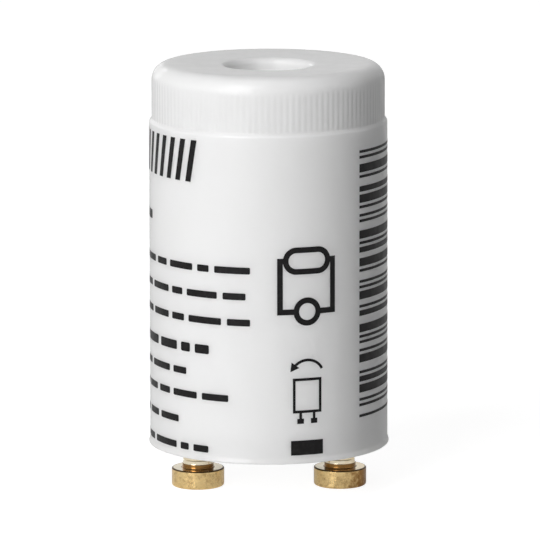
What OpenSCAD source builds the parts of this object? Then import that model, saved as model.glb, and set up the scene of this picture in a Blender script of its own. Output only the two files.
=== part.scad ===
// Starter for a light tube: a white moulded can with a ribbed cap band, closed at the
// bottom by a snapped-in base plate that carries two turned brass contact pins.
// Inside, a small glass fuse link joins the two pins.
// Origin: middle of the footprint, at the end faces of the pins. +Z runs up the can,
// the two pins lie on the X axis.

/* [Can] */
// Diameter of the plain body, right under the step
body_d = 21.1; // [19:0.1:24]
// Draft: how much the body's radius grows from the step down to the foot lip
draft = 0.05; // [0.02:0.01:0.2]
// How far the foot lip stands out of the body
lip_out = 0.11; // [0.05:0.01:0.2]
// Height of the upright edge of the foot lip
lip_h = 0.12; // [0.08:0.02:0.3]
// Height over which the lip flares out of the body
lip_flare_h = 0.3; // [0.2:0.05:0.6]
// Height of the can, from its foot to its flat top
can_h = 34; // [31:0.1:38]
// Height of the cap: from the lower edge of the step to the flat top
cap_h = 5.1; // [4:0.1:8]
// Height of the sloping step between body and cap band
step_h = 0.26; // [0.15:0.01:0.5]
// Width of the step: how much smaller the cap band's radius is than the body's
step_w = 0.23; // [0.1:0.01:0.4]
// Radius of the rounded shoulder round the top
shoulder_r = 1.5; // [1:0.1:2.2]
// Thickness of the side wall, measured at the body
wall = 1.1; // [0.9:0.05:1.2]
// Thickness of the top, and of the floor of the recess
top_wall = 1.2; // [0.9:0.05:1.6]

/* [Recess] */
// How far the top sinks from the shoulder inwards to the recess
top_dish = 0.15; // [0.05:0.01:0.4]
// Diameter of the round recess in the top
recess_d = 7.9; // [6:0.1:10]
// Depth of the recess
recess_depth = 2.5; // [1.5:0.1:3.5]
// Rounding of the edge where the recess meets the top
recess_edge_r = 0.25; // [0.15:0.05:0.7]
// Rounding between the wall and the floor of the recess
recess_floor_r = 0.4; // [0.2:0.05:0.8]

/* [Grip ribs] */
// Number of grip ribs round the cap band
rib_count = 120; // [90:2:140]
// Depth of the grooves between the ribs
groove_depth = 0.1; // [0.05:0.01:0.16]
// Width of a groove at the surface
groove_w = 0.32; // [0.2:0.01:0.36]
// Width of a groove at its bottom
groove_floor_w = 0.12; // [0.06:0.01:0.16]

/* [Base plate] */
// Thickness of the base plate
plate_t = 1.6; // [1.2:0.1:2.2]
// How far the underside of the plate lies above the can's foot
plate_inset = 0.4; // [0.2:0.05:0.8]
// Width of the ledge in the can that the plate bears on
seat_w = 0.4; // [0.3:0.02:0.5]
// Lead-in chamfer at the can's mouth
mouth_chamfer = 0.2; // [0.1:0.02:0.3]
// Height of the plate's upstanding rim
rim_h = 3; // [2.4:0.1:4]
// Thickness of the plate's upstanding rim
rim_t = 0.8; // [0.6:0.05:1.2]
// Radius of the snap bead round the rim
bead_r = 0.25; // [0.15:0.01:0.3]
// Height of the snap bead above the plate
bead_h = 1.9; // [1:0.1:2]
// Diameter of the bosses that hold the pins
boss_d = 4; // [3.7:0.1:5]
// Height of the bosses above the plate
boss_h = 1.2; // [0.8:0.1:2]
// Clearance between the plate and the can
plate_gap = 0.05; // [0.03:0.01:0.1]

/* [Contact pins] */
// Distance between the centres of the two pins
pin_spacing = 12.7; // [12.4:0.1:13]
// How far the pins reach below the can's foot
pin_reach = 4.1; // [3.6:0.05:4.4]
// Diameter of the pin's head
head_d = 4.7; // [4.5:0.05:5]
// Height of the head
head_h = 1.65; // [1.4:0.05:1.9]
// Rounding of the head's lower edge
head_edge_r = 0.2; // [0.15:0.05:0.5]
// Chamfer of the head's upper edge
head_chamfer = 0.08; // [0.04:0.01:0.15]
// Diameter of the neck between head and base plate
neck_d = 2.65; // [2.5:0.05:3.2]
// How far the collar at the foot of the neck stands out of the neck
collar_out = 0.08; // [0.04:0.01:0.2]
// Height of that collar above the head
collar_h = 0.5; // [0.3:0.05:1]
// Diameter of the shank that passes through the base plate
shank_d = 2.2; // [2:0.05:2.5]
// Diameter of the flange riveted over the boss
rivet_d = 3.4; // [3:0.1:3.7]
// Height of the riveted flange
rivet_h = 0.45; // [0.3:0.05:0.7]
// Outer diameter of the solder cup on top of the pin
cup_d = 1.9; // [1.6:0.05:2.1]
// Height of the solder cup above the riveted flange
cup_h = 1.5; // [1:0.1:2.2]
// Diameter of the bore in the solder cup
cup_bore_d = 1.1; // [0.9:0.05:1.3]
// Depth of the bore in the solder cup
cup_depth = 2.2; // [1.6:0.1:2.8]
// Clearance between the shank and its hole
shank_gap = 0.02; // [0.01:0.01:0.05]

/* [Fuse link] */
// Outer diameter of the glass tube
glass_d = 3.1; // [2.6:0.1:3.6]
// Wall of the glass tube
glass_wall = 0.5; // [0.4:0.05:0.7]
// Length of an end cap
end_cap_len = 2.3; // [1.8:0.1:2.8]
// Sheet thickness of an end cap
end_cap_wall = 0.2; // [0.15:0.05:0.3]
// Clearance between the glass tube and an end cap
end_cap_gap = 0.03; // [0.02:0.01:0.06]
// Diameter of the fusible wire
fuse_wire_d = 0.14; // [0.1:0.01:0.25]
// Height of the fuse's axis above the tops of the solder cups
fuse_rise = 3; // [2.4:0.1:4]
// Diameter of a lead
lead_d = 0.6; // [0.5:0.05:0.8]
// Straight stretch of a lead between its end cap and its bend. The fuse takes up the rest.
lead_run = 0.45; // [0.35:0.05:1.2]
// Radius of the lead's bend, at its middle line
lead_bend_r = 0.9; // [0.6:0.05:1.4]
// Diameter of the flat head where the lead is welded to the end cap
lead_head_d = 1.5; // [1.2:0.1:2]
// Thickness of that flat head
lead_head_t = 0.2; // [0.15:0.05:0.3]
// Space left between the end of the lead and the bottom of the cup
lead_end_gap = 0.2; // [0.1:0.05:0.4]
// Height of the solder's cone above the cup
solder_h = 0.6; // [0.3:0.05:0.9]
// Width of the ring in which that cone ends at the lead
solder_tip_w = 0.1; // [0.04:0.02:0.2]
// Clearance round the solder
solder_gap = 0.02; // [0.01:0.01:0.05]

/* [Hidden] */
$fn = 96;
// Cutters run past the faces they open by this much
past = 1;
// Depth by which solids that form one piece run into each other
weld = 0.3;

// Least rounding of the cavity's upper corner
least_corner_r = 0.3;

body_r = body_d / 2;
foot_r = body_r + draft;
lip_r = foot_r + lip_out;
cap_r = body_r - step_w;
recess_r = recess_d / 2;
rim_top_z = can_h - top_dish;
bore_r = body_r - wall;
mouth_r = bore_r + seat_w;
rim_r = bore_r - plate_gap;
step_z = can_h - cap_h;
cap_z = step_z + step_h;
// Rounding of the cavity's upper corner, so that the wall keeps its thickness round the shoulder
cavity_corner_r = max(shoulder_r - wall, least_corner_r);
rib_pitch = 360 / rib_count;

// Heights above the can's foot
seat_z = plate_inset + plate_t;
bead_z = seat_z + bead_h;
boss_z = seat_z + boss_h;
rivet_z = boss_z + rivet_h;
cup_z = rivet_z + cup_h;
fuse_z = cup_z + fuse_rise;

pin_x = pin_spacing / 2;
fuse_len = pin_spacing - 2 * (lead_bend_r + lead_run);
glass_r = glass_d / 2;
end_cap_r = glass_r + end_cap_gap + end_cap_wall;
end_cap_face_x = fuse_len / 2 - end_cap_wall;
lead_end_z = cup_z - cup_depth + lead_end_gap;

WHITE = [0.93, 0.93, 0.92];
PLATE_WHITE = [0.88, 0.88, 0.87];
BRASS = [0.8, 0.65, 0.36];
TINNED = [0.74, 0.74, 0.75];
NICKEL = [0.66, 0.65, 0.62];
GLASS = [0.8, 0.88, 0.88, 0.5];

// The corner outside a quarter circle: taken away, it rounds an edge
module corner(r) {
    difference() {
        square(r + past);
        circle(r);
    }
}

// The web inside a quarter circle: added, it fills an inner corner
module web(r) {
    difference() {
        square(r);
        translate([r, r])
            circle(r);
    }
}

// Two like pieces, one at each end of the X axis: side is -1 at the left, 1 at the right
module on_side(side) {
    if (side < 0) {
        mirror([1, 0, 0])
            children();
    } else {
        children();
    }
}

module recess_profile() {
    floor_z = can_h - recess_depth;
    difference() {
        union() {
            translate([0, floor_z])
                square([recess_r, recess_depth + past]);
            translate([recess_r + recess_edge_r, rim_top_z - recess_edge_r])
                mirror([1, 0])
                    intersection() {
                        corner(recess_edge_r);
                        square([recess_edge_r, recess_edge_r + past]);
                    }
        }
        translate([recess_r, floor_z])
            mirror([1, 0])
                web(recess_floor_r);
    }
}

// Body with its draft, foot lip and step, as a solid of revolution
module body_form() {
    lip_edge = lip_h / 2;
    rotate_extrude()
        polygon([
            [0, 0],
            [lip_r - lip_edge, 0],
            [lip_r, lip_edge],
            [lip_r, lip_h],
            [foot_r, lip_h + lip_flare_h],
            [body_r, step_z],
            [cap_r, cap_z],
            [0, cap_z]
        ]);
}

// Smooth form of the cap: band, rounded shoulder, slightly sunken top and recess
module cap_form() {
    rotate_extrude()
        difference() {
            polygon([
                [0, cap_z - weld],
                [cap_r, cap_z - weld],
                [cap_r, can_h],
                [cap_r - shoulder_r, can_h],
                [recess_r + recess_edge_r, rim_top_z],
                [0, rim_top_z]
            ]);
            translate([cap_r - shoulder_r, can_h - shoulder_r])
                corner(shoulder_r);
            recess_profile();
        }
}

// Outline whose notches leave the grip ribs. Between notches it lies outside the cap.
function notch(a) = [
    for (p = [
        [cap_r + past, -groove_w / 2],
        [cap_r, -groove_w / 2],
        [cap_r - groove_depth, -groove_floor_w / 2],
        [cap_r - groove_depth, groove_floor_w / 2],
        [cap_r, groove_w / 2],
        [cap_r + past, groove_w / 2]
    ]) [p[0] * cos(a) - p[1] * sin(a), p[0] * sin(a) + p[1] * cos(a)]
];

module rib_prism() {
    translate([0, 0, cap_z - weld])
        linear_extrude(can_h - cap_z + weld + past)
            polygon([for (i = [0 : rib_count - 1]) each notch((i + 0.5) * rib_pitch)]);
}

// Inside of the can: mouth with its lead-in, ledge, bore, snap groove, and the underside
// of the top with the recess standing into it
module cavity() {
    ceiling_z = can_h - top_wall;
    pocket_z = can_h - recess_depth - top_wall;
    rotate_extrude()
        difference() {
            union() {
                translate([0, -past])
                    square([mouth_r, seat_z + past]);
                polygon([
                    [0, -past],
                    [mouth_r + mouth_chamfer + past, -past],
                    [mouth_r, mouth_chamfer],
                    [0, mouth_chamfer]
                ]);
                square([bore_r, ceiling_z]);
                translate([bore_r, bead_z])
                    circle(bead_r + plate_gap);
            }
            translate([0, pocket_z])
                square([recess_r + wall, ceiling_z]);
            translate([bore_r - cavity_corner_r, ceiling_z - cavity_corner_r])
                corner(cavity_corner_r);
        }
}

module housing() {
    color(WHITE)
        translate([0, 0, pin_reach])
            difference() {
                union() {
                    body_form();
                    intersection() {
                        cap_form();
                        rib_prism();
                    }
                }
                cavity();
            }
}

// Disc that closes the can, with the rim and bead that snap into it
module plate_form() {
    rotate_extrude()
        union() {
            translate([0, plate_inset])
                square([mouth_r - plate_gap, plate_t]);
            translate([rim_r - rim_t, plate_inset])
                square([rim_t, plate_t + rim_h]);
            translate([rim_r, bead_z])
                circle(bead_r);
        }
}

// The bosses end at the rim's outer face where the pins stand far apart
module base_plate() {
    color(PLATE_WHITE)
        translate([0, 0, pin_reach])
            difference() {
                union() {
                    plate_form();
                    intersection() {
                        translate([0, 0, plate_inset])
                            cylinder(r = rim_r, h = plate_t + boss_h);
                        for (side = [-1, 1])
                            translate([side * pin_x, 0, plate_inset])
                                cylinder(d = boss_d, h = plate_t + boss_h);
                    }
                }
                for (side = [-1, 1])
                    translate([side * pin_x, 0, plate_inset - past])
                        cylinder(d = shank_d + 2 * shank_gap, h = plate_t + boss_h + 2 * past);
            }
}

// Turned mushroom pin: head, collar, neck, shank through the plate, riveted flange and solder cup
module contact_pin(side) {
    top_z = pin_reach + cup_z;
    color(BRASS)
        on_side(side)
            translate([pin_x, 0, 0])
                rotate_extrude()
                    difference() {
                        union() {
                            difference() {
                                square([head_d / 2, head_h]);
                                translate([head_d / 2 - head_edge_r, head_edge_r])
                                    mirror([0, 1])
                                        corner(head_edge_r);
                                translate([head_d / 2 - head_chamfer, head_h])
                                    rotate(-45)
                                        square([past, past]);
                            }
                            square([neck_d / 2, pin_reach + plate_inset]);
                            square([neck_d / 2 + collar_out, head_h + collar_h]);
                            square([shank_d / 2, top_z - cup_h]);
                            translate([0, pin_reach + boss_z]) {
                                difference() {
                                    square([rivet_d / 2, rivet_h]);
                                    translate([rivet_d / 2 - rivet_h / 2, rivet_h / 2])
                                        corner(rivet_h / 2);
                                }
                                square([cup_d / 2, rivet_h + cup_h]);
                            }
                        }
                        translate([0, top_z - cup_depth])
                            square([cup_bore_d / 2, cup_depth + past]);
                    }
}

// Solder that fills the cup round the lead and stands up round it as a cone
module solder_joint(side) {
    bore = lead_d / 2 + solder_gap;
    color(TINNED)
        on_side(side)
            translate([pin_x, 0, pin_reach])
                rotate_extrude()
                    polygon([
                        [bore, lead_end_z],
                        [cup_bore_d / 2 - solder_gap, lead_end_z],
                        [cup_bore_d / 2 - solder_gap, cup_z],
                        [cup_d / 2, cup_z],
                        [bore + solder_tip_w, cup_z + solder_h],
                        [bore, cup_z + solder_h]
                    ]);
}

// Lead: flat welded head, straight stretch, one bend, and the leg that stands in the cup
module fuse_lead(side) {
    color(TINNED)
        on_side(side)
            translate([0, 0, pin_reach]) {
                translate([fuse_len / 2, 0, fuse_z])
                    rotate([0, 90, 0]) {
                        cylinder(d = lead_head_d, h = lead_head_t);
                        cylinder(d = lead_d, h = lead_run);
                    }
                translate([pin_x - lead_bend_r, 0, fuse_z - lead_bend_r])
                    rotate([90, 0, 0])
                        rotate_extrude(angle = 90)
                            translate([lead_bend_r, 0])
                                circle(d = lead_d);
                translate([pin_x, 0, lead_end_z])
                    cylinder(d = lead_d, h = fuse_z - lead_bend_r - lead_end_z);
            }
}

// Drawn cup that closes one end of the glass tube
module fuse_end_cap(side) {
    color(NICKEL)
        on_side(side)
            translate([fuse_len / 2, 0, pin_reach + fuse_z])
                rotate([0, -90, 0])
                    difference() {
                        rotate_extrude()
                            difference() {
                                square([end_cap_r, end_cap_len]);
                                translate([end_cap_r - end_cap_wall, end_cap_wall])
                                    mirror([0, 1])
                                        corner(end_cap_wall);
                            }
                        translate([0, 0, end_cap_wall])
                            cylinder(r = end_cap_r - end_cap_wall, h = end_cap_len);
                    }
}

module fuse_tube() {
    color(GLASS)
        translate([-end_cap_face_x, 0, pin_reach + fuse_z])
            rotate([0, 90, 0])
                difference() {
                    cylinder(r = glass_r, h = 2 * end_cap_face_x);
                    translate([0, 0, -past])
                        cylinder(r = glass_r - glass_wall, h = 2 * (end_cap_face_x + past));
                }
}

module fuse_wire() {
    color(NICKEL)
        translate([-end_cap_face_x, 0, pin_reach + fuse_z])
            rotate([0, 90, 0])
                cylinder(d = fuse_wire_d, h = 2 * end_cap_face_x);
}

housing();
base_plate();
contact_pin(-1);  // contact_pin_left
contact_pin(1);  // contact_pin_right
solder_joint(-1);  // solder_joint_left
solder_joint(1);  // solder_joint_right
fuse_lead(-1);  // fuse_lead_left
fuse_lead(1);  // fuse_lead_right
fuse_end_cap(-1);  // fuse_end_cap_left
fuse_end_cap(1);  // fuse_end_cap_right
fuse_tube();
fuse_wire();
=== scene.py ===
"""Starter for a tube lamp: a white ribbed can on two turned brass pins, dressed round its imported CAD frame."""

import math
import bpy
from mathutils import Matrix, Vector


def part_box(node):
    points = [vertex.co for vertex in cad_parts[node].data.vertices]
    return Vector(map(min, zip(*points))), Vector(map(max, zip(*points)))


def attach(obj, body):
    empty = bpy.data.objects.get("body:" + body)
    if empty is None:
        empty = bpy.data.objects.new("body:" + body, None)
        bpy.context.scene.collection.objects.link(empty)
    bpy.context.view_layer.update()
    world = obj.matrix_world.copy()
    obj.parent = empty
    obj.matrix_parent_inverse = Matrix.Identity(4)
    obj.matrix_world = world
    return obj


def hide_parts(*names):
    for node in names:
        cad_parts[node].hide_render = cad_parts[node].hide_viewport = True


bl_info = {
    "name": "Tube lamp starter",
    "version": (1, 0, 0),
    "blender": (4, 5, 0),
    "location": "3D View > Sidebar > Starter",
    "description": "Builds a tube lamp's starter and the plain studio round it",
    "category": "Add Mesh",
}

import bmesh
import bpy
from bpy.props import FloatProperty, FloatVectorProperty, IntProperty, PointerProperty
from mathutils import Matrix, Vector

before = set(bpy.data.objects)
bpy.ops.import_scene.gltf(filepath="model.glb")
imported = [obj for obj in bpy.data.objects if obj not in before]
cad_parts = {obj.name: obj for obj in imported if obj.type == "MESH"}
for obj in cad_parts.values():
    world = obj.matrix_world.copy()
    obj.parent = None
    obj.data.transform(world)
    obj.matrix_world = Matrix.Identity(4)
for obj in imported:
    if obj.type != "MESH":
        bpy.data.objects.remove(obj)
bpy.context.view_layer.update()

MM = 0.001
HOUSING_LOW, HOUSING_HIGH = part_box("housing")
PIN_LOW, PIN_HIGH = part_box("contact_pin_right")
PIN_X = (PIN_LOW.x + PIN_HIGH.x) / 2
INNER_NODES = {
    "fuse_tube": "fuse glass",
    "fuse_wire": "tinned wire",
    "fuse_lead_left": "tinned wire",
    "fuse_lead_right": "tinned wire",
    "fuse_end_cap_left": "nickel plate",
    "fuse_end_cap_right": "nickel plate",
    "solder_joint_left": "soft solder",
    "solder_joint_right": "soft solder",
}
# Where the camera stands and how it looks, from the fit to the photograph
CAMERA_PLACE = Vector((-8.02, -465.93, 103.2)) * MM
CAMERA_TURN = math.radians(-1.002)
CAMERA_PITCH = math.radians(10.185)
CAMERA_ROLL = math.radians(-0.123)
CAMERA_LENS = 355.07


def length(name, description, millimetres):
    """A size property: written here in millimetres, kept in metres."""
    return FloatProperty(
        name=name,
        description=description,
        default=millimetres * MM,
        min=0.0,
        precision=5,
        unit="LENGTH",
    )


def colour(name, description, rgb):
    return FloatVectorProperty(
        name=name,
        description=description,
        default=rgb,
        min=0.0,
        max=1.0,
        size=3,
        subtype="COLOR",
    )


class CanSizes(bpy.types.PropertyGroup):
    foot: FloatProperty(
        name="Foot",
        description="Height of the can's foot above the pins' ends",
        default=HOUSING_LOW.z,
        unit="LENGTH",
    )
    top: FloatProperty(
        name="Top",
        description="Height of the flat top above the pins' ends",
        default=HOUSING_HIGH.z,
        unit="LENGTH",
    )
    lip_radius: FloatProperty(
        name="Lip radius",
        description="Radius of the foot lip, the widest part of the can",
        default=min(HOUSING_HIGH.x, HOUSING_HIGH.y) - 0.005 * MM,
        unit="LENGTH",
    )
    lip_out: length("Lip overhang", "How far the lip stands out of the body", 0.11)
    lip_height: length("Lip height", "Height of the lip's upright edge", 0.12)
    lip_flare: length("Lip flare", "Height over which the lip flares out", 0.3)
    draft: length("Draft", "How much the body narrows up to the step", 0.05)
    cap_height: length("Cap height", "From the lower edge of the step to the top", 5.1)
    step_height: length("Step height", "Height of the sloping step", 0.26)
    step_width: length("Step width", "How far the step goes inwards", 0.23)
    shoulder: length("Shoulder radius", "Rounding between band and flat top", 1.45)
    wall: length("Wall", "Thickness of the side wall", 1.1)
    top_wall: length("Top wall", "Thickness of the top", 1.2)
    recess_radius: length("Recess radius", "Radius of the recess in the top", 3.74)
    recess_depth: length("Recess depth", "Depth of the recess", 2.5)
    dish: length("Dish", "How far the top sinks from its shoulder to the recess", 0.15)
    recess_edge: length("Recess edge", "Rounding of the recess's edge", 0.5)
    recess_floor: length("Recess corner", "Rounding at the recess's floor", 0.4)
    rib_depth: length("Groove depth", "Depth of the grooves between ribs", 0.03)
    rib_end: length("Rib end", "Where the grooves end, below the top", 0.45)
    rib_fade: length("Rib fade", "Height over which the grooves fade out", 1.6)
    ribs: IntProperty(
        name="Ribs",
        description="Number of grip ribs round the cap band",
        default=120,
        min=12,
    )
    columns: IntProperty(
        name="Columns per rib",
        description="Columns of faces that each rib gets",
        default=6,
        min=4,
    )


class PlateSizes(bpy.types.PropertyGroup):
    inset: length("Inset", "How far the plate lies above the foot", 0.4)
    ledge: length("Ledge height", "Height of the ledge that the plate bears on", 2.0)
    seat: length("Ledge width", "Width of that ledge", 0.4)
    mouth_chamfer: length("Mouth chamfer", "Lead-in at the can's mouth", 0.2)
    edge: length("Edge rounding", "Rounding of the moulded edges", 0.06)


class PinSizes(bpy.types.PropertyGroup):
    head_radius: length("Head radius", "Radius of the head", 2.35)
    head_height: length("Head height", "Height of the head", 1.65)
    head_edge: length("Lower rounding", "Rounding of the head's lower edge", 0.2)
    head_chamfer: length("Rim chamfer", "Chamfer of the head's upper rim", 0.08)
    # The dark line is painted: a dark reflection of the can's shaded underside.
    rim_line: length("Rim line", "Width of the dark line on the head's upper face", 0.05)
    neck_radius: length("Neck radius", "Radius of the neck", 1.325)
    neck_foot: length("Neck foot", "Rounding where the collar meets the head", 0.1)
    collar_out: length("Collar", "How far the collar stands out of the neck", 0.08)
    collar_height: length("Collar height", "Height of the collar above the head", 0.4)
    shank_radius: length("Shank radius", "Radius inside the base plate", 1.1)


class PrintSizes(bpy.types.PropertyGroup):
    film: length("Ink film", "Thickness of the printed ink", 0.012)
    row_height: length("Row height", "Height of a printed row", 0.6)
    heavy_row: length("Heavy row height", "Height of the heavier row", 0.8)
    band_height: length("Band height", "Height of the large printed strokes", 3.7)
    bar_module: length("Bar module", "Width of the thinnest bar", 0.245)


class FinishColours(bpy.types.PropertyGroup):
    can_white: colour("Can white", "Moulded white of the can", (0.93, 0.93, 0.93))
    plate_white: colour("Plate white", "Matt white of the base plate", (0.8, 0.8, 0.79))
    ink: colour("Ink", "Printing ink", (0.009, 0.0084, 0.0087))
    brass: colour("Brass", "Bare turned brass", (0.8, 0.585, 0.275))
    # This colour serves the random dark patches on the brass, the painted shade on the right pin's right side, and the
    # painted dark reflection on the collars.
    brass_patches_and_shade: colour("Dark patches and painted shade", "Darker patches on the brass", (0.28, 0.145, 0.045))
    # Painted reflection: this pale, greyish brass on the necks and head tops stands in for the white room mirrored in
    # them.
    brass_painted_reflection: colour("Pale brass", "Turned necks and upper faces of the pins' heads", (0.9, 0.81, 0.62))
    # Painted dark reflection: the dark line round the heads' upper rim stands in for the can's shaded underside
    # mirrored in the chamfer.
    painted_rim_reflection: colour("Rim", "Dark line round the upper rim of the pins' heads", (0.09, 0.055, 0.025))


class StudioSettings(bpy.types.PropertyGroup):
    key: FloatProperty(
        name="Key light",
        description="Power of the large soft light at the front left",
        default=7.5,
        min=0.0,
        unit="POWER",
    )
    top: FloatProperty(
        name="Top light",
        description="Power of the soft light overhead",
        default=1.15,
        min=0.0,
        unit="POWER",
    )
    strip: FloatProperty(
        name="Strip lights",
        description="Radiance of the narrow lights behind, which glance off the left shoulder",
        default=5.0,
        min=0.0,
    )
    ambient: FloatProperty(
        name="Ambient",
        description="Brightness of the room round the object",
        default=0.02,
        min=0.0,
    )
    floor: colour("Floor", "Plain pale floor", (0.85, 0.85, 0.85))
    room_mirrored: FloatProperty(
        name="Mirrored room",
        description="How white the room is in the object's reflections",
        default=0.78,
        min=0.0,
        max=1.0,
    )
    floor_mirrored: FloatProperty(
        name="Mirrored floor",
        description="How white the floor is in the object's reflections",
        default=0.42,
        min=0.0,
        max=1.0,
    )


# ---- mesh helpers ----


def with_supports(corners):
    """Adds a point just past each rounding, so that the straight runs between them shade straight."""
    gap = 0.03 * MM
    points = [corners[0]]
    for first, second in zip(corners, corners[1:]):
        run = math.dist(first[:2], second[:2])
        if run > first[2] + second[2] + 4 * gap:
            places = []
            if first[2] > 0.0:
                places.append((first[2] + gap) / run)
            if second[2] > 0.0:
                places.append(1.0 - (second[2] + gap) / run)
            for share in places:
                radius = first[0] + (second[0] - first[0]) * share
                height = first[1] + (second[1] - first[1]) * share
                points.append((radius, height, 0.0))
        points.append(second)
    return points


def profile(bm, corners):
    """Draws a line through corners (r, z, rounding), and rounds those that ask for it."""
    corners = with_supports(corners)
    points = [bm.verts.new((r, 0.0, z)) for r, z, _ in corners]
    for a, b in zip(points, points[1:]):
        bm.edges.new((a, b))
    for point, (_, _, rounding) in zip(points, corners):
        if rounding > 0.0:
            bmesh.ops.bevel(
                bm,
                geom=[point],
                offset=rounding,
                offset_type="OFFSET",
                affect="VERTICES",
                segments=2 + min(9, int(rounding / (0.05 * MM))),
                profile=0.5,
                material=-1,
            )


def lathe(bm, steps):
    """Spins the drawn profile by an eighth turn, and doubles that until it is round and closed."""
    turn = math.tau / 8
    bmesh.ops.spin(
        bm,
        geom=bm.verts[:] + bm.edges[:],
        angle=turn,
        steps=steps // 8,
        axis=(0, 0, 1),
        cent=(0, 0, 0),
    )
    for _ in range(3):
        everything = bm.verts[:] + bm.edges[:] + bm.faces[:]
        copied = bmesh.ops.duplicate(bm, geom=everything)["geom"]
        points = [g for g in copied if isinstance(g, bmesh.types.BMVert)]
        bmesh.ops.rotate(bm, verts=points, cent=(0, 0, 0), matrix=Matrix.Rotation(turn, 3, "Z"))
        turn *= 2
    close(bm)


def close(bm):
    bmesh.ops.remove_doubles(bm, verts=bm.verts[:], dist=0.0005 * MM)
    bmesh.ops.recalc_face_normals(bm, faces=bm.faces[:])


def smooth(bm, sharpest):
    """Smooth shading, with creases where faces meet at more than the given angle."""
    for face in bm.faces:
        face.smooth = True
    for edge in bm.edges:
        if len(edge.link_faces) == 2:
            edge.smooth = edge.calc_face_angle(0.0) < sharpest


def piece(name, bm, materials, nodes=()):
    """Makes a finished mesh a piece of the object, in place of the CAD nodes named."""
    mesh = bpy.data.meshes.new(name)
    bm.to_mesh(mesh)
    bm.free()
    for material in materials:
        mesh.materials.append(material)
    made = bpy.data.objects.new(name, mesh)
    bpy.context.scene.collection.objects.link(made)
    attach(made, "root")
    if nodes:
        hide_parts(*nodes)
    return made


# ---- materials ----


class Finish:
    """A material under construction: places nodes and joins them."""

    def __init__(self, name):
        self.material = bpy.data.materials.new(name)
        self.material.use_nodes = True
        self.tree = self.material.node_tree
        self.shader = self.tree.nodes["Principled BSDF"]
        self.coordinates = self.tree.nodes.new("ShaderNodeTexCoord").outputs["Object"]

    def node(self, kind, **settings):
        made = self.tree.nodes.new(kind)
        for key, value in settings.items():
            setattr(made, key, value)
        return made

    def join(self, source, target):
        self.tree.links.new(source, target)

    def set(self, **values):
        for key, value in values.items():
            self.shader.inputs[key.replace("_", " ")].default_value = value

    def noise(self, scale, detail=2.0, roughness=0.5, stretch=None):
        """Noise on the piece's own place. Scale is in waves per metre."""
        made = self.node("ShaderNodeTexNoise")
        made.inputs["Scale"].default_value = scale
        made.inputs["Detail"].default_value = detail
        made.inputs["Roughness"].default_value = roughness
        source = self.coordinates
        if stretch:
            mapping = self.node("ShaderNodeMapping")
            mapping.inputs["Scale"].default_value = stretch
            self.join(source, mapping.inputs["Vector"])
            source = mapping.outputs["Vector"]
        self.join(source, made.inputs["Vector"])
        return made.outputs["Fac"]

    def spread(self, value, low, high, start=0.0, end=1.0):
        """Spreads a value from low..high onto start..end."""
        made = self.node("ShaderNodeMapRange")
        for key, number in (
            ("From Min", low),
            ("From Max", high),
            ("To Min", start),
            ("To Max", end),
        ):
            made.inputs[key].default_value = number
        self.join(value, made.inputs["Value"])
        return made.outputs["Result"]

    def blend(self, share, first, second):
        made = self.node("ShaderNodeMix", data_type="RGBA")
        made.inputs["A"].default_value = (*first, 1.0) if len(first) == 3 else first
        made.inputs["B"].default_value = (*second, 1.0) if len(second) == 3 else second
        self.join(share, made.inputs["Factor"])
        return next(o for o in made.outputs if o.type == "RGBA")

    def bump(self, height, distance, strength=1.0, normal=None):
        made = self.node("ShaderNodeBump")
        made.inputs["Strength"].default_value = strength
        made.inputs["Distance"].default_value = distance
        self.join(height, made.inputs["Height"])
        if normal:
            self.join(normal, made.inputs["Normal"])
        return made.outputs["Normal"]

    def feed(self, source, name):
        self.join(source, self.shader.inputs[name])


def can_plastic(colours):
    """Satin white moulding: faint clouding, a trace of orange peel and uneven gloss."""
    finish = Finish("can plastic")
    white = tuple(colours.can_white)
    warm = tuple(c * f for c, f in zip(white, (0.985, 0.985, 0.98)))
    finish.set(Roughness=0.22, IOR=1.49, Subsurface_Weight=0.7, Subsurface_Scale=0.0016)
    finish.set(Subsurface_Radius=(1.0, 1.0, 1.0), Specular_IOR_Level=0.32)
    finish.feed(finish.blend(finish.spread(finish.noise(160.0, 3.0), 0.35, 0.7), white, warm), "Base Color")
    finish.feed(finish.spread(finish.noise(420.0, 4.0, 0.6), 0.3, 0.7, 0.19, 0.25), "Roughness")
    fine = finish.bump(finish.noise(5200.0, 2.0, 0.5), 0.001 * MM, 0.5)
    finish.feed(finish.bump(finish.noise(260.0, 2.0), 0.012 * MM, 0.3, fine), "Normal")
    return finish.material


def plate_plastic(colours):
    """Matt white moulding with the fine grain of an eroded mould."""
    finish = Finish("plate plastic")
    white = tuple(colours.plate_white)
    grey = tuple(c * 0.94 for c in white)
    finish.set(Roughness=0.55, IOR=1.49)
    finish.feed(finish.blend(finish.spread(finish.noise(300.0, 3.0), 0.35, 0.7), white, grey), "Base Color")
    finish.feed(finish.spread(finish.noise(900.0, 3.0), 0.3, 0.7, 0.48, 0.62), "Roughness")
    finish.feed(finish.bump(finish.noise(9000.0, 2.0, 0.7), 0.006 * MM, 0.8), "Normal")
    return finish.material


def print_ink(colours):
    """Near-black ink: slightly uneven cover and a dull gloss."""
    finish = Finish("print ink")
    ink = tuple(colours.ink)
    thin = tuple(c * 1.8 + 0.002 for c in ink)
    finish.set(Roughness=0.45, Specular_IOR_Level=0.13)
    finish.feed(finish.blend(finish.spread(finish.noise(2400.0, 4.0, 0.6), 0.45, 0.75), ink, thin), "Base Color")
    finish.feed(finish.spread(finish.noise(1500.0, 3.0), 0.3, 0.7, 0.38, 0.52), "Roughness")
    finish.feed(finish.bump(finish.noise(6000.0, 2.0), 0.002 * MM, 0.5), "Normal")
    return finish.material


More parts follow.
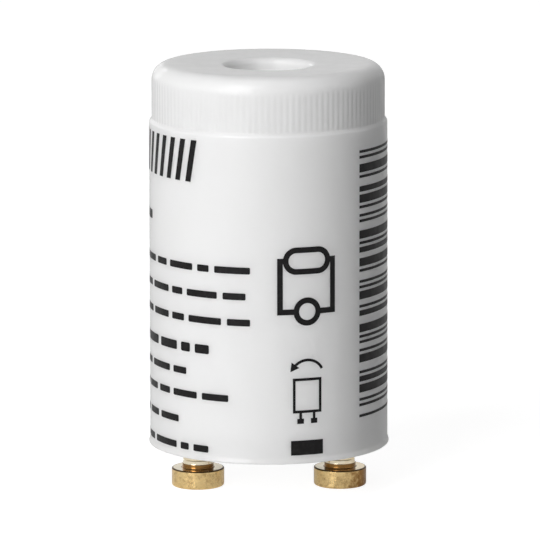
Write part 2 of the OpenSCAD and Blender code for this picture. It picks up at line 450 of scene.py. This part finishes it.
def brass(name, clean, dark, gloss, grain, tarnish_and_shade):
    """Bare brass with random dark patches. Gloss is its least and most roughness, grain the depth of its scuffs, and
    the last argument how far it goes from the first colour to the second, by the random patches and by painted shade on
    the right pin's right side.
    """
    finish = Finish(name)
    finish.set(Metallic=1.0, Roughness=0.25)
    blotches = finish.noise(2000.0, 5.0, 0.7)
    place = finish.node("ShaderNodeSeparateXYZ")
    finish.join(finish.coordinates, place.inputs["Vector"])
    # Painted shade: the right pin turns darker towards its right side, away from the light.
    shaded_side = finish.spread(place.outputs["X"], 6.3 * MM, 8.3 * MM, 0.0, 0.4)
    total = finish.node("ShaderNodeMath", operation="ADD")
    finish.join(blotches, total.inputs[0])
    finish.join(shaded_side, total.inputs[1])
    patches = finish.spread(total.outputs["Value"], 0.49, 0.86, 0.0, tarnish_and_shade)
    finish.feed(finish.blend(patches, clean, dark), "Base Color")
    finish.feed(finish.spread(finish.noise(1400.0, 5.0, 0.6), 0.35, 0.7, *gloss), "Roughness")
    turning = finish.noise(900.0, 4.0, 0.6, (1.0, 1.0, 14.0))
    fine = finish.bump(turning, 0.004 * MM, 0.6)
    finish.feed(finish.bump(finish.noise(2600.0, 5.0, 0.7), grain, 0.8, fine), "Normal")
    return finish.material


def fuse_glass():
    finish = Finish("fuse glass")
    finish.set(Base_Color=(0.86, 0.93, 0.92, 1.0), IOR=1.5, Transmission_Weight=1.0)
    finish.feed(finish.spread(finish.noise(700.0, 2.0), 0.3, 0.7, 0.02, 0.07), "Roughness")
    finish.feed(finish.bump(finish.noise(500.0, 2.0), 0.004 * MM, 0.4), "Normal")
    return finish.material


def plated(name, light, dark, gloss, scale):
    """A plated or tinned metal with a soft, uneven shine."""
    finish = Finish(name)
    finish.set(Metallic=1.0, Roughness=0.3)
    finish.feed(finish.blend(finish.spread(finish.noise(scale, 4.0), 0.35, 0.75), light, dark), "Base Color")
    finish.feed(finish.spread(finish.noise(scale * 1.7, 4.0), 0.3, 0.7, *gloss), "Roughness")
    finish.feed(finish.bump(finish.noise(scale * 3.0, 3.0), 0.003 * MM, 0.6), "Normal")
    return finish.material


# ---- pieces ----


def body_radius(sizes, z):
    """Outer radius of the plain body at height z, with its draft."""
    low = sizes.foot + sizes.lip_height + sizes.lip_flare
    high = sizes.top - sizes.cap_height
    share = min(max((z - low) / (high - low), 0.0), 1.0)
    return sizes.lip_radius - sizes.lip_out - sizes.draft * share


def can_corners(sizes, plate):
    """The can's profile, from the middle of the recess over the outside to the inside."""
    foot, top = sizes.foot, sizes.top
    body = sizes.lip_radius - sizes.lip_out
    upper = body - sizes.draft
    band = upper - sizes.step_width
    step = top - sizes.cap_height
    bore = upper - sizes.wall
    mouth = bore + plate.seat
    ceiling = top - sizes.top_wall
    recess = top - sizes.recess_depth
    return [
        (0.0, recess, 0.0),
        (sizes.recess_radius, recess, sizes.recess_floor),
        (sizes.recess_radius, top - sizes.dish, sizes.recess_edge),
        (band - sizes.shoulder - 0.3 * MM, top, 0.2 * MM),
        (band, top, sizes.shoulder),
        (band, top - 1.9 * MM, 0.0),
        (band, top - 2.4 * MM, 0.0),
        (band, top - 3.5 * MM, 0.0),
        (band, step + sizes.step_height, 0.09 * MM),
        (upper, step, 0.1 * MM),
        ((upper * 3 + body) / 4, (step * 3 + foot) / 4, 0.0),
        ((upper + body) / 2, (step + foot) / 2, 0.0),
        (body, foot + sizes.lip_height + sizes.lip_flare, 0.12 * MM),
        (sizes.lip_radius, foot + sizes.lip_height, 0.03 * MM),
        (sizes.lip_radius, foot, 0.05 * MM),
        (mouth + plate.mouth_chamfer, foot, 0.03 * MM),
        (mouth, foot + plate.mouth_chamfer, 0.03 * MM),
        (mouth, foot + plate.ledge, 0.0),
        (bore, foot + plate.ledge, 0.0),
        (bore, ceiling, 0.5 * MM),
        (sizes.recess_radius + sizes.wall, ceiling, 0.0),
        (sizes.recess_radius + sizes.wall, recess - sizes.top_wall, 0.0),
        (0.0, recess - sizes.top_wall, 0.0),
    ]


def cut_ribs(bm, sizes):
    """Presses the grooves between the grip ribs into the band. They run out on the shoulder."""
    band = sizes.lip_radius - sizes.lip_out - sizes.draft - sizes.step_width
    low = sizes.top - sizes.cap_height + sizes.step_height - 0.02 * MM
    inner = band - sizes.rib_depth
    end = sizes.top - sizes.rib_end
    for point in bm.verts:
        radius = math.hypot(point.co.x, point.co.y)
        if point.co.z < low or radius <= inner:
            continue
        turn = math.atan2(point.co.y, point.co.x) * sizes.ribs
        fade = min(max((end - point.co.z) / sizes.rib_fade, 0.0), 1.0)
        depth = (radius - inner) * (0.5 + 0.5 * math.cos(turn)) ** 1.3 * fade
        share = 1.0 - depth / radius
        point.co.x *= share
        point.co.y *= share


def make_can(context):
    sizes = context.scene.starter_can
    bm = bmesh.new()
    profile(bm, can_corners(sizes, context.scene.starter_plate))
    lathe(bm, sizes.ribs * sizes.columns)
    cut_ribs(bm, sizes)
    smooth(bm, math.radians(38))
    plastic = can_plastic(context.scene.starter_colours)
    piece("can_shell", bm, [plastic], ["housing"])


def make_base_plate(context):
    """The CAD plate has the right shape. It gets its finish."""
    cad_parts["base_plate"].material_slots[0].material = plate_plastic(context.scene.starter_colours)


def pin_corners(sizes):
    """A pin's profile: head, collar, neck, shank through the plate, riveted flange and solder cup."""
    head, neck, shank = sizes.head_radius, sizes.neck_radius, sizes.shank_radius
    plate = HOUSING_LOW.z + 0.4 * MM
    rivet = plate + 2.8 * MM
    flange = rivet + 0.45 * MM
    cup = PIN_HIGH.z
    collar = neck + sizes.collar_out
    collar_top = sizes.head_height + sizes.collar_height
    return [
        (0.0, 0.0, 0.0),
        (head, 0.0, sizes.head_edge),
        (head, sizes.head_height - sizes.head_chamfer, 0.02 * MM),
        (head - sizes.head_chamfer, sizes.head_height, 0.02 * MM),
        (head - sizes.head_chamfer - sizes.rim_line, sizes.head_height, 0.0),
        (collar, sizes.head_height, sizes.neck_foot),
        (collar, collar_top, 0.03 * MM),
        (neck, collar_top, 0.03 * MM),
        (neck, collar_top + 0.3 * MM, 0.0),
        (neck - 0.03 * MM, collar_top + 0.35 * MM, 0.0),
        (neck, collar_top + 0.4 * MM, 0.0),
        (neck, plate, 0.05 * MM),
        (shank, plate, 0.0),
        (shank, rivet, 0.0),
        (1.7 * MM, rivet, 0.0),
        (1.7 * MM, flange, 0.22 * MM),
        (0.95 * MM, flange, 0.0),
        (0.95 * MM, cup, 0.0),
        (0.55 * MM, cup, 0.0),
        (0.55 * MM, cup - 2.2 * MM, 0.0),
        (0.0, cup - 2.2 * MM, 0.0),
    ]


def make_contact_pins(context):
    sizes = context.scene.starter_pins
    colours = context.scene.starter_colours
    clean, dark = tuple(colours.brass), tuple(colours.brass_patches_and_shade)
    pale, line = tuple(colours.brass_painted_reflection), tuple(colours.painted_rim_reflection)
    finishes = [
        brass("brass side", clean, dark, (0.14, 0.4), 0.035 * MM, 1.0),
        brass("brass face painted reflection", pale, clean, (0.1, 0.25), 0.002 * MM, 0.5),
        # Painted dark reflection: the collars' dark brown stands in for the head's top and the can's shaded underside
        # mirrored in the neck's concave foot.
        brass("brass painted collar reflection", dark, line, (0.1, 0.25), 0.004 * MM, 0.8),
        brass("brass painted rim reflection", line, line, (0.3, 0.5), 0.004 * MM, 0.0),
    ]
    rim = sizes.head_height - sizes.head_chamfer
    edge = sizes.head_radius - sizes.head_chamfer - sizes.rim_line
    collar = sizes.neck_radius + sizes.collar_out
    for side, name in ((-1, "left"), (1, "right")):
        bm = bmesh.new()
        profile(bm, pin_corners(sizes))
        lathe(bm, 160)
        # Faces get finishes by place: 0 the head's side, 1 the pale painted reflection on the upper faces and neck, 2
        # the collar's painted dark reflection, 3 the rim line's painted dark reflection.
        for face in bm.faces:
            middle = face.calc_center_median()
            radius = math.hypot(middle.x, middle.y)
            in_collar = radius < collar + sizes.neck_foot and middle.z < sizes.head_height + sizes.collar_height
            if middle.z < rim - 0.02 * MM:
                face.material_index = 0
            elif in_collar:
                face.material_index = 2
            elif middle.z < sizes.head_height - 0.01 * MM or middle.z < sizes.head_height + 0.01 * MM and radius > edge:
                face.material_index = 3
            else:
                face.material_index = 1
        smooth(bm, math.radians(30))
        bmesh.ops.rotate(bm, verts=bm.verts[:], cent=(0, 0, 0), matrix=Matrix.Rotation(side * 0.9, 3, "Z"))
        bmesh.ops.translate(bm, verts=bm.verts[:], vec=(side * PIN_X, 0.0, 0.0))
        piece("pin_" + name, bm, finishes, ["contact_pin_" + name])


# ---- printing: drawn flat, with arc length as x and height as z, then laid on the can ----


def bar(bm, x0, x1, z0, z1, corner=0.0, lean=0.0):
    """A flat bar, in steps fine enough to follow the can. It can lean to the right."""
    columns = max(1, round(abs(x1 - x0) / (0.35 * MM)))
    rows = max(1, round(abs(lean) / (0.15 * MM)))
    made = bmesh.ops.create_grid(bm, x_segments=columns, y_segments=rows, size=0.5)["verts"]
    for point in made:
        x, z = point.co.x + 0.5, point.co.y + 0.5
        point.co = (x0 + (x1 - x0) * x + lean * z, 0.0, z0 + (z1 - z0) * z)
    if corner:
        ends = [p for p in made if len(p.link_edges) == 2]
        bmesh.ops.bevel(
            bm,
            geom=ends,
            offset=corner,
            offset_type="OFFSET",
            affect="VERTICES",
            segments=3,
            profile=0.5,
            material=-1,
        )


def ring(bm, x, z, radius, width, start=0.0, turn=math.tau, squeeze=1.0):
    """A flat ring or arc round (x, z). The angle runs anticlockwise from the right."""
    inner = bm.verts.new((radius - width / 2, 0.0, 0.0))
    outer = bm.verts.new((radius + width / 2, 0.0, 0.0))
    edge = bm.edges.new((inner, outer))
    bmesh.ops.rotate(bm, verts=[inner, outer], cent=(0, 0, 0), matrix=Matrix.Rotation(-start, 3, "Y"))
    before = set(bm.verts) - {inner, outer}
    bmesh.ops.spin(
        bm,
        geom=[inner, outer, edge],
        angle=-turn,
        steps=max(6, round(abs(turn) / math.tau * 48)),
        axis=(0, 1, 0),
        cent=(0, 0, 0),
        use_merge=turn >= math.tau - 1e-6,
    )
    for point in set(bm.verts) - before:
        point.co = (x + point.co.x * squeeze, 0.0, z + point.co.z)


def lay_on_can(bm, sizes, film):
    """Gives flat printing its thickness and wraps it round the can."""
    bmesh.ops.remove_doubles(bm, verts=bm.verts[:], dist=0.001 * MM)
    grown = bmesh.ops.extrude_face_region(bm, geom=bm.faces[:])
    top = [g for g in grown["geom"] if isinstance(g, bmesh.types.BMVert)]
    bmesh.ops.translate(bm, verts=top, vec=(0.0, -film, 0.0))
    for point in bm.verts:
        radius = body_radius(sizes, point.co.z)
        turn = point.co.x / radius
        out = radius - 0.004 * MM - point.co.y
        point.co = (out * math.sin(turn), -out * math.cos(turn), point.co.z)
    bmesh.ops.recalc_face_normals(bm, faces=bm.faces[:])
    smooth(bm, math.radians(40))


def row(bm, right, height, z, words, gap=0.55 * MM):
    """One printed row of plain dashes, laid from its right end to the left."""
    x = right
    for word in words:
        bar(bm, x - word * MM, x, z, z + height, corner=height * 0.18)
        x -= word * MM + gap


def print_rows(bm, sizes):
    """Rows of plain dashes: (right end, lower edge, dash lengths from the right), in mm."""
    light, heavy = sizes.row_height, sizes.heavy_row
    rows = [
        (-14.1, 24.6, heavy, (1.4, 1.6)),
        (-1.8, 20.95, light, (3.3, 1.2, 2.9, 1.7, 2.4, 1.1, 2.6)),
        (-2.2, 18.65, light, (2.1, 3.2, 1.4, 3.0, 2.2, 1.8)),
        (-1.8, 16.35, light, (2.1, 3.4, 1.6, 2.8, 2.5, 1.2)),
        (-5.65, 13.65, heavy, (1.5, 1.1, 2.6, 3.1, 1.9)),
        (-8.15, 11.6, light, (1.7, 3.4, 2.2)),
        (-3.8, 9.55, light, (2.6, 2.9, 1.8, 2.4, 1.2)),
        (-9.15, 7.2, light, (2.8, 2.3, 1.1)),
        (-5.75, 4.85, light, (1.6, 1.0, 3.6, 1.9, 1.3)),
    ]
    for right, z, height, words in rows:
        row(bm, right * MM, height, z * MM, words)


def print_band(bm, sizes):
    """Large plain slanting strokes under the step."""
    stroke, pitch, lean = 0.62 * MM, 1.3 * MM, 0.7 * MM
    for number in range(8):
        right = -6.85 * MM - lean - number * pitch
        bar(bm, right - stroke, right, 28.75 * MM, 28.75 * MM + sizes.band_height, lean=lean)


def print_lamp_sign(bm):
    """A generic wiring sign: a lamp tube, its leads, and the starter as a small ring."""
    line = 0.5 * MM
    left, right = 0.56 * MM, 5.94 * MM
    top, low = 22.1 * MM, 17.6 * MM
    tube, end = 0.95 * MM, 0.75 * MM
    for z in (top - tube, top + tube):
        bar(bm, left + end + tube, right - end - tube, z - line / 2, z + line / 2)
    ring(bm, left + end + tube, top, tube, line, math.pi / 2, math.pi)
    ring(bm, right - end - tube, top, tube, line, -math.pi / 2, math.pi)
    bar(bm, left, left + end, top - line / 2, top + line / 2)
    bar(bm, right - end, right, top - line / 2, top + line / 2)
    bar(bm, left, left + line, low - line / 2, top - line / 2)
    bar(bm, right - line, right, low - line / 2, top - line / 2)
    centre, starter = (left + right) / 2, 1.0 * MM
    bar(bm, left + line, centre - starter, low - line / 2, low + line / 2)
    bar(bm, centre + starter, right - line, low - line / 2, low + line / 2)
    ring(bm, centre, low, starter, line)


def print_turn_sign(bm):
    """A generic sign: the outline of a starter under an arrow that shows which way to turn it."""
    middle, line = 3.25 * MM, 0.24 * MM
    low, high, half = 8.6 * MM, 11.7 * MM, 1.2 * MM
    bar(bm, middle - half, middle + half, low, low + line)
    bar(bm, middle - half, middle + half, high - line, high)
    for side in (-1, 1):
        edge = middle + side * half
        bar(bm, edge - line / 2, edge + line / 2, low, high)
        pin = middle + side * 0.62 * MM
        bar(bm, pin - line / 2, pin + line / 2, low - 0.5 * MM, low)
        bar(bm, pin - 0.3 * MM, pin + 0.3 * MM, low - 0.95 * MM, low - 0.5 * MM)
    radius, centre = 1.55 * MM, 11.75 * MM
    start, turn = math.radians(28), math.radians(115)
    ring(bm, middle, centre, radius, line, start, turn)
    tip = Matrix.Rotation(-(start + turn), 3, "Y") @ Vector((radius, 0.0, 0.0))
    head = bmesh.ops.create_circle(bm, cap_ends=True, segments=3, radius=0.5 * MM)["verts"]
    for point in head:
        flat = Vector((point.co.x, 0.0, point.co.y))
        flat.rotate(Matrix.Rotation(-(start + turn), 3, "Y"))
        point.co = Vector((middle, 0.0, centre)) + tip + flat


def print_signs(bm):
    print_lamp_sign(bm)
    print_turn_sign(bm)
    bar(bm, 1.76 * MM, 4.72 * MM, 4.85 * MM, 6.15 * MM)


def print_bars(bm, sizes):
    """A field of plain cross bars. Their widths and gaps follow a counting rule and hold no code."""
    z, module = 31.3 * MM, sizes.bar_module
    number = 0
    while True:
        width = module * (1, 1, 3, 1, 2, 3, 1)[number % 7]
        gap = module * (1, 2, 1, 3, 1)[number % 5]
        if z - width < 7.05 * MM:
            break
        bar(bm, 8.83 * MM, 18.6 * MM, z - width, z)
        z -= width + gap
        number += 1


def make_printing(context):
    can, sizes = context.scene.starter_can, context.scene.starter_print
    ink = print_ink(context.scene.starter_colours)
    drawings = {
        "print_band": lambda bm: print_band(bm, sizes),
        "print_rows": lambda bm: print_rows(bm, sizes),
        "print_signs": print_signs,
        "print_bars": lambda bm: print_bars(bm, sizes),
    }
    for name, draw in drawings.items():
        bm = bmesh.new()
        draw(bm)
        lay_on_can(bm, can, sizes.film)
        piece(name, bm, [ink])


def dress_inner_pieces(context):
    """The sealed inner pieces keep their CAD shapes and get their finishes."""
    finishes = {
        "fuse glass": fuse_glass(),
        "tinned wire": plated("tinned wire", (0.78, 0.77, 0.75), (0.6, 0.59, 0.57), (0.25, 0.45), 900.0),
        "nickel plate": plated("nickel plate", (0.7, 0.68, 0.64), (0.58, 0.56, 0.52), (0.12, 0.3), 500.0),
        "soft solder": plated("soft solder", (0.72, 0.72, 0.73), (0.5, 0.5, 0.52), (0.3, 0.5), 1200.0),
    }
    for node, finish in INNER_NODES.items():
        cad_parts[node].material_slots[0].material = finishes[finish]


# ---- studio ----


def softbox(name, place, aim, width, height, power):
    light = bpy.data.lights.new(name, "AREA")
    light.shape = "RECTANGLE"
    light.size = width
    light.size_y = height
    light.energy = power
    lamp = bpy.data.objects.new(name, light)
    bpy.context.scene.collection.objects.link(lamp)
    lamp.location = place
    lamp.rotation_euler = (Vector(aim) - Vector(place)).to_track_quat("-Z", "Y").to_euler()
    lamp.visible_camera = False
    return lamp


def around(turn, height, distance):
    """A place round the object: turn from the front (left is negative) and height, in degrees."""
    turn, height = math.radians(turn), math.radians(height)
    flat = distance * math.cos(height)
    return Vector((flat * math.sin(turn), -flat * math.cos(turn), 0.03 + distance * math.sin(height)))


def strip_light(name, start, end, width, radiance):
    """A narrow light between two places round the object, given as turn and height."""
    first, last = around(*start, 0.5), around(*end, 0.5)
    long = (last - first).length
    lamp = softbox(name, (first + last) / 2, (0.0, 0.0, 0.03), long, width, radiance * math.pi * long * width)
    back = lamp.location - Vector((0.0, 0.0, 0.03))
    along = (last - first).normalized()
    across = back.cross(along).normalized()
    facing = along.cross(across)
    lamp.rotation_euler = Matrix((along, across, facing)).transposed().to_euler()


def shown_to(tree, shares):
    """The share of white that each kind of ray gets to see, and 0 for kinds that aren't named."""
    path = tree.nodes.new("ShaderNodeLightPath")
    total = None
    for kind, share in shares.items():
        part = tree.nodes.new("ShaderNodeMath")
        part.operation = "MULTIPLY"
        part.inputs[1].default_value = share
        tree.links.new(path.outputs[kind], part.inputs[0])
        if total:
            largest = tree.nodes.new("ShaderNodeMath")
            largest.operation = "MAXIMUM"
            tree.links.new(total, largest.inputs[0])
            tree.links.new(part.outputs["Value"], largest.inputs[1])
            part = largest
        total = part.outputs["Value"]
    return total


def make_floor(settings):
    bm = bmesh.new()
    bmesh.ops.create_circle(bm, cap_ends=True, segments=96, radius=3.0)
    bmesh.ops.translate(bm, verts=bm.verts[:], vec=(0.0, 0.0, -0.01 * MM))
    mesh = bpy.data.meshes.new("floor")
    bm.to_mesh(mesh)
    bm.free()
    floor = bpy.data.objects.new("floor", mesh)
    bpy.context.scene.collection.objects.link(floor)
    material = bpy.data.materials.new("pale floor")
    material.use_nodes = True
    tree = material.node_tree
    tree.nodes.clear()
    diffuse = tree.nodes.new("ShaderNodeBsdfDiffuse")
    diffuse.inputs["Color"].default_value = (*settings.floor, 1.0)
    glow = tree.nodes.new("ShaderNodeEmission")
    glow.inputs["Strength"].default_value = 0.92
    shown = tree.nodes.new("ShaderNodeAddShader")
    faint = tree.nodes.new("ShaderNodeMixShader")
    faint.inputs["Fac"].default_value = 0.35
    black = tree.nodes.new("ShaderNodeBsdfDiffuse")
    black.inputs["Color"].default_value = (0.0, 0.0, 0.0, 1.0)
    tree.links.new(black.outputs["BSDF"], faint.inputs[1])
    tree.links.new(diffuse.outputs["BSDF"], faint.inputs[2])
    tree.links.new(faint.outputs["Shader"], shown.inputs[0])
    tree.links.new(glow.outputs["Emission"], shown.inputs[1])
    choice = tree.nodes.new("ShaderNodeMixShader")
    seen = shown_to(tree, {"Is Camera Ray": 1.0, "Is Glossy Ray": settings.floor_mirrored})
    tree.links.new(seen, choice.inputs["Fac"])
    tree.links.new(diffuse.outputs["BSDF"], choice.inputs[1])
    tree.links.new(shown.outputs["Shader"], choice.inputs[2])
    output = tree.nodes.new("ShaderNodeOutputMaterial")
    tree.links.new(choice.outputs["Shader"], output.inputs["Surface"])
    mesh.materials.append(material)


def make_world(settings):
    world = bpy.data.worlds.new("studio")
    bpy.context.scene.world = world
    world.use_nodes = True
    tree = world.node_tree
    tree.nodes.clear()
    room = tree.nodes.new("ShaderNodeBackground")
    room.inputs["Strength"].default_value = settings.ambient
    white = tree.nodes.new("ShaderNodeBackground")
    for background in (room, white):
        background.inputs["Color"].default_value = (1.0, 1.0, 1.0, 1.0)
    choice = tree.nodes.new("ShaderNodeMixShader")
    shares = {"Is Camera Ray": 1.0, "Is Transmission Ray": 1.0, "Is Glossy Ray": settings.room_mirrored}
    seen = shown_to(tree, shares)
    tree.links.new(seen, choice.inputs["Fac"])
    tree.links.new(room.outputs["Background"], choice.inputs[1])
    tree.links.new(white.outputs["Background"], choice.inputs[2])
    output = tree.nodes.new("ShaderNodeOutputWorld")
    tree.links.new(choice.outputs["Shader"], output.inputs["Surface"])


def make_camera():
    camera = bpy.data.objects.new("camera", bpy.data.cameras.new("camera"))
    bpy.context.scene.collection.objects.link(camera)
    camera.data.lens = CAMERA_LENS
    camera.data.sensor_width = 36.0
    camera.data.clip_start = 0.01
    camera.data.clip_end = 10.0
    camera.matrix_world = (
        Matrix.Translation(CAMERA_PLACE)
        @ Matrix.Rotation(CAMERA_TURN, 4, "Z")
        @ Matrix.Rotation(math.pi / 2 - CAMERA_PITCH, 4, "X")
        @ Matrix.Rotation(CAMERA_ROLL, 4, "Z")
    )
    bpy.context.scene.camera = camera


def make_studio(context):
    settings = context.scene.starter_studio
    aim = (0.0, 0.0, 0.02)
    make_camera()
    make_floor(settings)
    make_world(settings)
    softbox("key light", (-0.442, -0.643, 0.426), aim, 0.45, 0.95, settings.key)
    softbox("top light", (0.0, 0.0, 0.9), aim, 0.5, 0.5, settings.top)
    strip_light("side strip light", (-144, 0), (-152, 17), 0.02, settings.strip)
    strip_light("back strip light", (-152, 17), (-168, 22), 0.02, settings.strip)
    strip_light("low strip light", (-154, 0), (-173, 10), 0.015, settings.strip / 2)
    context.scene.view_settings.view_transform = "Standard"


# ---- the add-on ----


class STARTER_OT_can(bpy.types.Operator):
    """Make the moulded can with its ribbed cap and recess"""

    bl_idname = "starter.can"
    bl_label = "Can"

    def execute(self, context):
        make_can(context)
        return {"FINISHED"}


class STARTER_OT_base_plate(bpy.types.Operator):
    """Finish the base plate that closes the can"""

    bl_idname = "starter.base_plate"
    bl_label = "Base plate"

    def execute(self, context):
        make_base_plate(context)
        return {"FINISHED"}


class STARTER_OT_contact_pins(bpy.types.Operator):
    """Make the two turned brass contact pins"""

    bl_idname = "starter.contact_pins"
    bl_label = "Contact pins"

    def execute(self, context):
        make_contact_pins(context)
        return {"FINISHED"}


class STARTER_OT_printing(bpy.types.Operator):
    """Lay the plain printing on the can"""

    bl_idname = "starter.printing"
    bl_label = "Printing"

    def execute(self, context):
        make_printing(context)
        return {"FINISHED"}


class STARTER_OT_inner_pieces(bpy.types.Operator):
    """Finish the fuse link inside the can"""

    bl_idname = "starter.inner_pieces"
    bl_label = "Fuse link"

    def execute(self, context):
        dress_inner_pieces(context)
        return {"FINISHED"}


class STARTER_OT_studio(bpy.types.Operator):
    """Set up the floor, lights, background and camera"""

    bl_idname = "starter.studio"
    bl_label = "Studio"

    def execute(self, context):
        make_studio(context)
        return {"FINISHED"}


OPERATORS = (
    STARTER_OT_studio,
    STARTER_OT_can,
    STARTER_OT_base_plate,
    STARTER_OT_contact_pins,
    STARTER_OT_printing,
    STARTER_OT_inner_pieces,
)
SETTINGS = {
    "starter_can": CanSizes,
    "starter_plate": PlateSizes,
    "starter_pins": PinSizes,
    "starter_print": PrintSizes,
    "starter_colours": FinishColours,
    "starter_studio": StudioSettings,
}


class STARTER_PT_sidebar(bpy.types.Panel):
    """Sizes, colours and steps of the starter"""

    bl_idname = "STARTER_PT_sidebar"
    bl_label = "Tube lamp starter"
    bl_space_type = "VIEW_3D"
    bl_region_type = "UI"
    bl_category = "Starter"

    def draw(self, context):
        for operator in OPERATORS:
            self.layout.operator(operator.bl_idname)
        for name, group in SETTINGS.items():
            box = self.layout.box()
            settings = getattr(context.scene, name)
            for key in group.__annotations__:
                box.prop(settings, key)


def register():
    for item in (*SETTINGS.values(), *OPERATORS, STARTER_PT_sidebar):
        bpy.utils.register_class(item)
    for name, group in SETTINGS.items():
        setattr(bpy.types.Scene, name, PointerProperty(type=group))


def unregister():
    for name in SETTINGS:
        delattr(bpy.types.Scene, name)
    for item in (STARTER_PT_sidebar, *reversed(OPERATORS), *SETTINGS.values()):
        bpy.utils.unregister_class(item)


def main():
    register()
    for operator in OPERATORS:
        group, name = operator.bl_idname.split(".")
        getattr(getattr(bpy.ops, group), name)()


if __name__ == "__main__":
    main()
